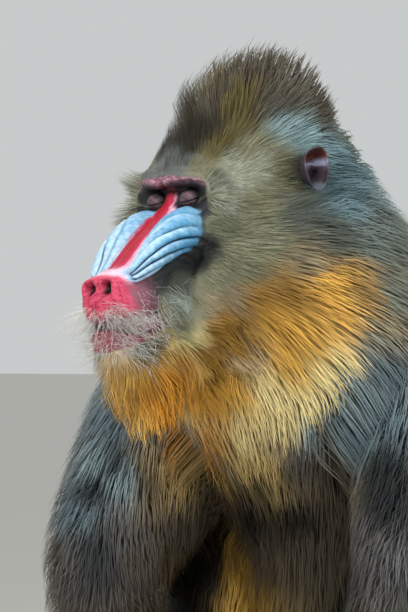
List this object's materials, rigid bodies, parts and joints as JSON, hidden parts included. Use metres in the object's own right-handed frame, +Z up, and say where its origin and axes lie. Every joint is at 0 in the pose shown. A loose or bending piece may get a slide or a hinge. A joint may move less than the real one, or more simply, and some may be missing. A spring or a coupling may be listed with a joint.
{
  "type": "mandrill",
  "caption": "Seated male mandrill, life-size museum-style model, eyes closed, arms planted on the floor, with crest, cheek whiskers, beard and mane.",
  "frame": {"origin": "middle of the seat flat under the rump, at floor level", "axes": "+Z up, the body faces -Y and its left side is towards +X; the head is turned a little to its right"},
  "size_m": [0.6156, 0.6589, 0.7381],
  "materials": {
    "head": "fur",
    "lower_jaw": "fur",
    "neck": "fur",
    "chest": "fur",
    "hips": "fur",
    "tail": "fur",
    "ear": "bare skin",
    "eye": "closed lids, bare skin",
    "upper_arm": "fur",
    "forearm": "fur",
    "hand": "bare dark skin and nails",
    "thigh": "fur",
    "shin": "fur",
    "foot": "bare dark skin and nails"
  },
  "bodies": {
    "root": {"head": "head", "lower_jaw": "lower_jaw", "neck": "neck", "chest": "chest", "hips": "hips", "tail": "tail", "ear_left": "ear", "ear_right": "ear", "eye_left": "eye", "eye_right": "eye", "upper_arm_left": "upper_arm", "upper_arm_right": "upper_arm", "forearm_left": "forearm", "forearm_right": "forearm", "hand_left": "hand", "hand_right": "hand", "thigh_left": "thigh", "thigh_right": "thigh", "shin_left": "shin", "shin_right": "shin", "foot_left": "foot", "foot_right": "foot"}
  },
  "joints": []
}
